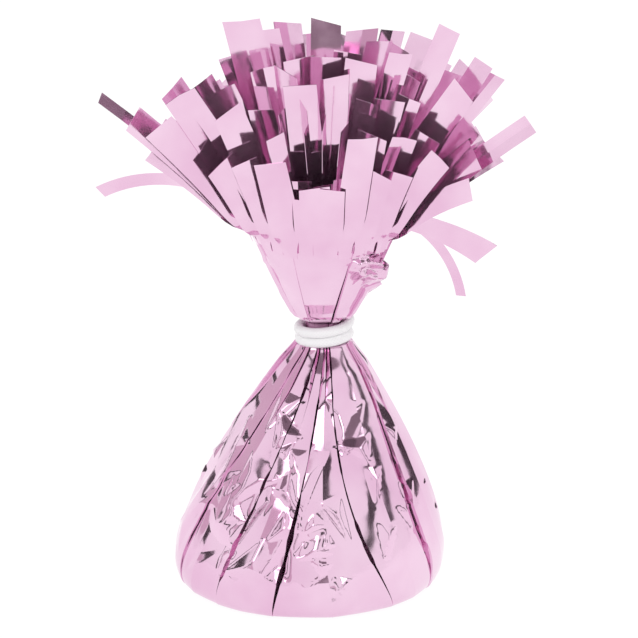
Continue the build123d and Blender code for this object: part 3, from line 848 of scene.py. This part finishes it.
def fringe(tuft, rings, name):
    """One node's strips as one piece."""
    points, strips = fringe_points(tuft, rings)
    piece = film_piece(name + "_film", points, ribbon_faces(strips, STRIP_ROWS), FOIL)
    sharpen_ribbons(piece, STRIP_ROWS)
    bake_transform(piece)
    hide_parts(name)
    return piece


strip_pieces = []
for tuft, side in enumerate(TUFTS):
    strip_pieces.append(fringe(tuft, OUTER_RINGS, "outer_fringe_" + side))
    strip_pieces.append(fringe(tuft, INNER_RINGS, "inner_fringe_" + side))
print("fringe quads:", sum(len(piece.data.polygons) for piece in strip_pieces))

# %% [markdown]
# ## The loose strips
# Three strips have come away from the tufts: one at the left, and a wide and a hanging one at the right. A
# curve object could carry each, but a ribbon keeps them like the rest of the fringe. Each bends from one
# tilt to another, so its line is the running sum of short steps in a slowly turning direction.

# %% Loose strips
LOOSE_ROWS, LOOSE_SLANT = 24, 0.3
LOW_TIP = fan_place(FAN_REACH + LOW_LENGTH, math.radians(LOW_TILT))
LOW_SLOPE = math.degrees(math.atan2(LOW_TIP[0] - RIM_RADIUS, LOW_TIP[1] - RIM_HEIGHT))
# A row: tuft, azimuth off its middle, extra lean at the root, tilt at the tip, length, root and tip width.
LOOSE = {
    "loose_strip_left": ("left", -9.0, 2.0, 120.0, 41.0, 2.6, 3.2),
    "loose_strip_right_wide": ("right", -9.0, 52.0, 122.0, 23.0, 4.0, 7.0),
    "loose_strip_right_hanging": ("right", 11.25, 70.0, 172.0, 28.0, 2.2, 2.4),
}


def loose_strip(name, side, azimuth, extra_lean, tip_tilt, length, root_width, tip_width):
    """A flat ribbon on edge, whose tilt goes in equal steps from the root's to the tip's."""
    turn = math.radians(TUFT_TURN * TUFTS.index(side) + azimuth)
    rim = float(rim_radius(np.array(turn)))
    root_tilt = LOW_SLOPE + extra_lean
    share = np.linspace(0.0, 1.0, LOOSE_ROWS)
    tilt = np.radians(root_tilt + (tip_tilt - root_tilt) * share)
    along = np.stack([np.sin(tilt), 0 * tilt, np.cos(tilt)], axis=-1)
    half = 0.5 * (root_width + (tip_width - root_width) * share)
    root_height = RIM_HEIGHT + RIM_GAP + half[0] * math.sin(tilt[0])
    start = np.array([rim - half[0] * math.cos(tilt[0]), 0.0, root_height])
    steps = np.cumsum(along[:-1] * length / (LOOSE_ROWS - 1), axis=0)
    line = start + np.concatenate([np.zeros((1, 3)), steps])
    wide_way, face_way = rolled(along, (np.pi / 2 + 0.1 * (share - 0.3))[:, None])
    no_fold, slant = np.array([0.0]), np.array([LOOSE_SLANT])
    corners = ribbon_points(line[None], wide_way[None], face_way[None], half[None], no_fold, slant)
    points = placed(corners, np.array([turn])).reshape(-1, 3)
    piece = film_piece(name + "_film", points, ribbon_faces(1, LOOSE_ROWS), FOIL)
    sharpen_ribbons(piece, LOOSE_ROWS)
    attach(piece, "tuft_" + side)
    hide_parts(name)
    return piece


for name, place in LOOSE.items():
    loose_strip(name, *place)
print("loose strips:", len(LOOSE))

# %% [markdown]
# ## The tie's finish
# The band is soft white elastic with a fine braid. An image could show it, but two crossed waves, the larger
# of them at each point, stay sharp and run along the band on its own map of length by girth. They bend the
# normals and also paint a faint shade: the band is a little greyer where the braid is low, in its grooves.

# %% Elastic material
def figure(operation, first, second):
    """A value worked out from two others."""
    node = node_on(first, "ShaderNodeMath", 0)
    node.operation = operation
    first.id_data.links.new(second, node.inputs[1])
    return node.outputs["Value"]


def white_elastic():
    """Two crossed waves for bump, and painted shade, greyer in the braid's grooves; the map is in
    millimetres.
    """
    material, band = new_material("white_elastic", "UV")
    waves = []
    for angle in (0.7, -0.7):
        way = node_on(band, "ShaderNodeMapping", "Vector", Rotation=(0.0, 0.0, angle)).outputs["Vector"]
        waves.append(node_on(way, "ShaderNodeTexWave", "Vector", Scale=0.55, Distortion=0.4).outputs["Fac"])
    braid = figure("MAXIMUM", *waves)
    # Painted shade: the white goes slightly grey where the braid is low, in its grooves.
    colour = ramp_of(braid, 0.2, 0.9, (0.90, 0.88, 0.90, 1), (0.97, 0.96, 0.97, 1))
    return dress(material, {"Base Color": colour, "Normal": bump_of(braid, 0.5, 0.0002)}, Roughness=0.6)


ELASTIC = white_elastic()
print("elastic material with", len(ELASTIC.node_tree.nodes), "nodes")

# %% [markdown]
# ## The tie
# The band goes twice round the neck, and its turns change places at the back. A curve with a round bevel
# would do, but a tube that is worked out can carry the braid's map. It is a little fuller than the solid,
# so that the turns touch as soft elastic does.

# %% Tie
TIE_ROWS, TIE_COLUMNS = 300, 18
TIE_PITCH, TIE_TRACK = 2.5, NECK_RADIUS + 0.25 + 1.0
TIE_DEEP, TIE_HIGH, TIE_GIRTH, TIE_MEAN = 1.25, 1.3, 1.27, 6.3
TIE_SPIN, TIE_TILT = math.radians(70.0), math.radians(6.0)


def tie_line(turn):
    """Two turns a pitch apart that change places at the crossing, where one humps over the other."""
    nearest = np.round(turn)
    past = 360.0 * (turn - nearest)
    under = nearest % 2 == 1
    climb = TIE_PITCH / 2 * np.sin(np.pi / 2 * np.clip(past / 50.0, -1, 1))
    hump = TIE_PITCH * np.cos(np.pi / 2 * np.clip(past / 85.0, -1, 1)) ** 2
    radius = np.where(under, TIE_TRACK, TIE_TRACK + hump)
    angle = 2.0 * np.pi * turn
    return np.stack([radius * np.cos(angle), radius * np.sin(angle), np.where(under, climb, -climb)], axis=-1)


def tie_points():
    """An oval carried along the line, then spun about the neck and tilted, as an array of row by column."""
    turn = np.linspace(0.0, 2.0, TIE_ROWS, endpoint=False)
    along = tie_line(turn + 1e-4) - tie_line(turn - 1e-4)
    along = along / np.linalg.norm(along, axis=-1, keepdims=True)
    out = np.stack([np.cos(2 * np.pi * turn), np.sin(2 * np.pi * turn), 0 * turn], axis=-1)
    up = np.cross(out, along)
    up = up / np.linalg.norm(up, axis=-1, keepdims=True)
    out = np.cross(along, up)
    girth = np.linspace(0.0, 2.0 * np.pi, TIE_COLUMNS, endpoint=False)[None, :, None]
    deep, high = TIE_DEEP * np.cos(girth), TIE_HIGH * np.sin(girth)
    tube = tie_line(turn)[:, None] + deep * out[:, None] + high * up[:, None]
    x = tube[..., 0] * math.cos(TIE_SPIN) - tube[..., 1] * math.sin(TIE_SPIN)
    y = tube[..., 0] * math.sin(TIE_SPIN) + tube[..., 1] * math.cos(TIE_SPIN)
    z = tube[..., 2]
    across = NECK_SHIFT + x * math.cos(TIE_TILT) - z * math.sin(TIE_TILT)
    height = NECK_MIDDLE + x * math.sin(TIE_TILT) + z * math.cos(TIE_TILT)
    return np.stack([across, y, height], axis=-1)


def tie_map():
    """Length along the band by way round it, in millimetres, for the four corners of each quad."""
    ahead = 2 * 2 * np.pi * TIE_MEAN / TIE_ROWS
    beside = 2 * np.pi / TIE_COLUMNS * TIE_GIRTH
    row, column = np.meshgrid(np.arange(TIE_ROWS), np.arange(TIE_COLUMNS), indexing="ij")
    first = np.stack([row * ahead, column * beside], axis=-1)
    return np.stack([first, first + [ahead, 0], first + [ahead, beside], first + [0, beside]], axis=2).ravel()


def neck_tie():
    """The tube's grid, closed both ways, with its map."""
    index = np.arange(TIE_ROWS * TIE_COLUMNS).reshape(TIE_ROWS, TIE_COLUMNS)
    ahead, beside = np.roll(index, -1, axis=0), np.roll(index, -1, axis=1)
    quads = np.stack([index, ahead, np.roll(ahead, -1, axis=1), beside], axis=-1).reshape(-1, 4).tolist()
    piece = film_piece("neck_tie_band", tie_points().reshape(-1, 3), quads, ELASTIC)
    piece.data.uv_layers.new(name="braid").data.foreach_set("uv", tie_map())
    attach(piece, ROOT)
    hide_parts("neck_tie")
    return piece


tie = neck_tie()
print("tie quads:", len(tie.data.polygons))

# %% [markdown]
# ## The core
# The cast core is shut inside the film. It could be made anew, but its solid has the right shape, so it
# only gets a cement finish: grey, matt and slightly pitted.

# %% Core
def cast_cement():
    """Grey grain: one noise for colour and bump."""
    material, place = new_material("cast_cement", "Object")
    grain = noise_of(place, 300.0, 6.0)
    colour = ramp_of(grain, 0.3, 0.7, (0.50, 0.48, 0.45, 1), (0.70, 0.68, 0.64, 1))
    return dress(material, {"Base Color": colour, "Normal": bump_of(grain, 0.6, 0.0004)}, Roughness=0.85)


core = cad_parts["weight_core"]
core.data.materials.clear()
core.data.materials.append(cast_cement())
print("core material:", core.data.materials[0].name)

# %% [markdown]
# ## The floor
# The object stands on plain white. A lit floor alone would turn grey away from the lamps, so part of it is
# plain white light, for the camera and for reflections only, and the rest still takes the shadow.

# %% Floor
def stage_material(name, colour, strength, mix):
    """Diffuse surface, mixed with its own light where the camera, a reflection or a refraction sees it."""
    material = bpy.data.materials.new(name)
    material.use_nodes = True
    tree = material.node_tree
    tree.nodes.clear()
    diffuse = tree.nodes.new("ShaderNodeBsdfDiffuse")
    diffuse.inputs["Color"].default_value = colour
    glow = tree.nodes.new("ShaderNodeEmission")
    glow.inputs["Color"].default_value = colour
    glow.inputs["Strength"].default_value = strength
    path = tree.nodes.new("ShaderNodeLightPath").outputs
    seen = figure("MAXIMUM", path["Is Camera Ray"], path["Is Glossy Ray"])
    part = node_on(figure("MAXIMUM", seen, path["Is Transmission Ray"]), "ShaderNodeMath", 0)
    part.operation = "MULTIPLY"
    part.inputs[1].default_value = mix
    blend = node_on(part.outputs["Value"], "ShaderNodeMixShader", "Fac")
    tree.links.new(diffuse.outputs["BSDF"], blend.inputs[1])
    tree.links.new(glow.outputs["Emission"], blend.inputs[2])
    node_on(blend.outputs["Shader"], "ShaderNodeOutputMaterial", "Surface")
    return material


def stage_mesh(name, points, faces, material):
    """A mesh that isn't part of the object; its points are in metres."""
    mesh = bpy.data.meshes.new(name)
    mesh.from_pydata(points, [], faces)
    piece = bpy.data.objects.new(name, mesh)
    piece.data.materials.append(material)
    bpy.context.scene.collection.objects.link(piece)
    return piece


FLOOR_CORNERS = [(-6, -6, 0), (6, -6, 0), (6, 6, 0), (-6, 6, 0)]
FLOOR_WHITE = stage_material("floor_white", (0.96, 0.96, 0.96, 1), 1.12, 0.85)
floor = stage_mesh("floor", FLOOR_CORNERS, [(0, 1, 2, 3)], FLOOR_WHITE)
print("floor:", round(floor.dimensions[0], 1), "m wide")

# %% [markdown]
# ## The flags
# Foil shows the room, so the room is designed: white surroundings with dark and grey flags that only
# reflections see. They give the film its dark folds, as black cards do in a studio. Dark paint on the film
# would do it for one view only.

# %% Flags
FLAG_MIDDLE = 0.07


def flag_ring(name, low, high, spans, distance, shade):
    """Cards on a sphere round the object, between two elevations, over azimuths from the front (degrees)."""
    points, faces = [], []
    elevation = np.radians([[low], [high]])
    flat, up = distance * np.cos(elevation), distance * np.sin(elevation) + FLAG_MIDDLE
    for first, last in spans:
        steps = max(2, int((last - first) / 10) + 1)
        angle = np.radians(np.linspace(first, last, steps))[None]
        card = np.stack([flat * np.sin(angle), -flat * np.cos(angle), up + 0 * angle], axis=-1)
        faces += (grid_quads(2, steps, False) + len(points)).tolist()
        points += card.reshape(-1, 3).tolist()
    material = stage_material(name, (shade, shade * 0.8, shade * 0.9, 1), 1.0, 1.0)
    ring = stage_mesh(name, points, faces, material)
    ring.visible_camera = False
    ring.visible_diffuse = False
    ring.visible_shadow = False
    return ring


SIDE_SPANS = [(49, 53), (72, 77), (97, 102), (120, 136), (150, 154),
              (204, 216), (234, 239), (260, 265), (283, 288), (309, 313)]
FLAGS = [
    ("flag_ceiling", 64.0, 89.9, [(0, 360)], 1.6, 0.08),
    ("flag_cornice", 52.0, 64.0, [(0, 360)], 1.6, 0.2),
    ("flag_sides", -2.0, 52.0, SIDE_SPANS, 1.6, 0.03),
    ("flag_front", 25.0, 36.0, [(-16, -7), (9, 18)], 1.6, 0.03),
    ("card_low", 2.0, 15.0, [(-9, -3), (4, 10)], 1.65, 0.25),
    ("card_grey", 2.0, 46.0, [(240, 259), (314, 328)], 1.7, 0.7),
]
for flag in FLAGS:
    flag_ring(*flag)
print("flags:", len(FLAGS))

# %% [markdown]
# ## Light
# White surroundings light the object evenly, and two small soft boxes add glints. Stronger lamps would only
# wash out the tint.

# %% Light
def soft_box(name, place, size, power):
    """A square area lamp, aimed at the middle of the object."""
    lamp = bpy.data.lights.new(name, "AREA")
    lamp.shape = "SQUARE"
    lamp.size = size
    lamp.energy = power
    box = bpy.data.objects.new(name, lamp)
    box.location = place
    aim = -box.location + type(box.location)((0, 0, FLAG_MIDDLE))
    box.rotation_euler = aim.to_track_quat("-Z", "Y").to_euler()
    bpy.context.scene.collection.objects.link(box)
    return box


soft_box("soft_box_left", (-0.7, -0.9, 0.8), 0.35, 0.7)
soft_box("soft_box_right", (0.95, -0.55, 0.9), 0.3, 0.5)
world = bpy.data.worlds.new("studio")
bpy.context.scene.world = world
world.use_nodes = True
background = world.node_tree.nodes["Background"]
background.inputs["Strength"].default_value = 1.0
background.inputs["Color"].default_value = (1, 1, 1, 1)
print("lamps:", len(bpy.data.lights))

# %% [markdown]
# ## The camera
# The photograph was taken from a little above and from far away. The lens follows from the distance and from
# how many pixels a millimetre takes, and the aim from the pixel of the middle of the foot.

# %% Camera
PHOTO_PIXELS, PIXELS_PER_MM = 638.0, 4.06
FOOT_PIXEL_X, FOOT_PIXEL_Y = 307.5, 579.0
SENSOR, DISTANCE = 36.0, 1.2

camera_data = bpy.data.cameras.new("camera")
camera = bpy.data.objects.new("camera", camera_data)
bpy.context.scene.collection.objects.link(camera)
bpy.context.scene.camera = camera
camera_data.lens = PIXELS_PER_MM * SENSOR * DISTANCE / MM / PHOTO_PIXELS
camera_data.sensor_width = SENSOR
aim_right = (PHOTO_PIXELS / 2 - FOOT_PIXEL_X) / PIXELS_PER_MM
aim_up = (FOOT_PIXEL_Y - PHOTO_PIXELS / 2) / PIXELS_PER_MM / math.cos(VIEW_ELEVATION)
back = np.array([0.0, -math.cos(VIEW_ELEVATION), math.sin(VIEW_ELEVATION)])
camera.location = np.array([aim_right, 0.0, aim_up]) * MM + DISTANCE * back
camera.rotation_euler = (math.pi / 2 - VIEW_ELEVATION, 0.0, 0.0)
camera_data.clip_end = 50.0
bpy.context.scene.view_settings.view_transform = "Standard"
print("lens", round(camera_data.lens, 1), "mm")
